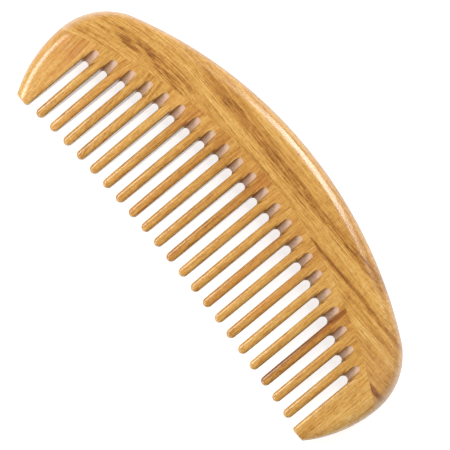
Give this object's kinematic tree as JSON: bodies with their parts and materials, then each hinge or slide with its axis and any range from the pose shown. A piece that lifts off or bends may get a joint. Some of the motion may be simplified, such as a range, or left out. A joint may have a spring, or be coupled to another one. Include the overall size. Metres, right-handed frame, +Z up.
{
  "type": "wide tooth comb",
  "caption": "Flat wooden comb with a curved solid spine, a row of widely spaced narrow teeth glued in one by one, and a broad guard tooth at each end.",
  "frame": {"origin": "middle of the comb's footprint, on the surface that it lies on", "axes": "+X along the comb, +Y from the tooth tips to the back of the spine, +Z up through the thickness"},
  "size_m": [0.18, 0.069, 0.011],
  "materials": {
    "spine_wood": "polished, oiled honey-coloured wood with the grain along the comb",
    "tooth_wood": "polished, oiled honey to red-brown wood with the grain along the tooth",
    "guard_wood": "polished, oiled honey-coloured wood with the grain along the tooth"
  },
  "bodies": {
    "root": {"spine": "spine_wood", "left_guard_tooth": "guard_wood", "right_guard_tooth": "guard_wood", "tooth_01": "tooth_wood", "tooth_02": "tooth_wood", "tooth_03": "tooth_wood", "tooth_04": "tooth_wood", "tooth_05": "tooth_wood", "tooth_06": "tooth_wood", "tooth_07": "tooth_wood", "tooth_08": "tooth_wood", "tooth_09": "tooth_wood", "tooth_10": "tooth_wood", "tooth_11": "tooth_wood", "tooth_12": "tooth_wood", "tooth_13": "tooth_wood", "tooth_14": "tooth_wood", "tooth_15": "tooth_wood", "tooth_16": "tooth_wood", "tooth_17": "tooth_wood", "tooth_18": "tooth_wood", "tooth_19": "tooth_wood", "tooth_20": "tooth_wood", "tooth_21": "tooth_wood"}
  },
  "joints": []
}
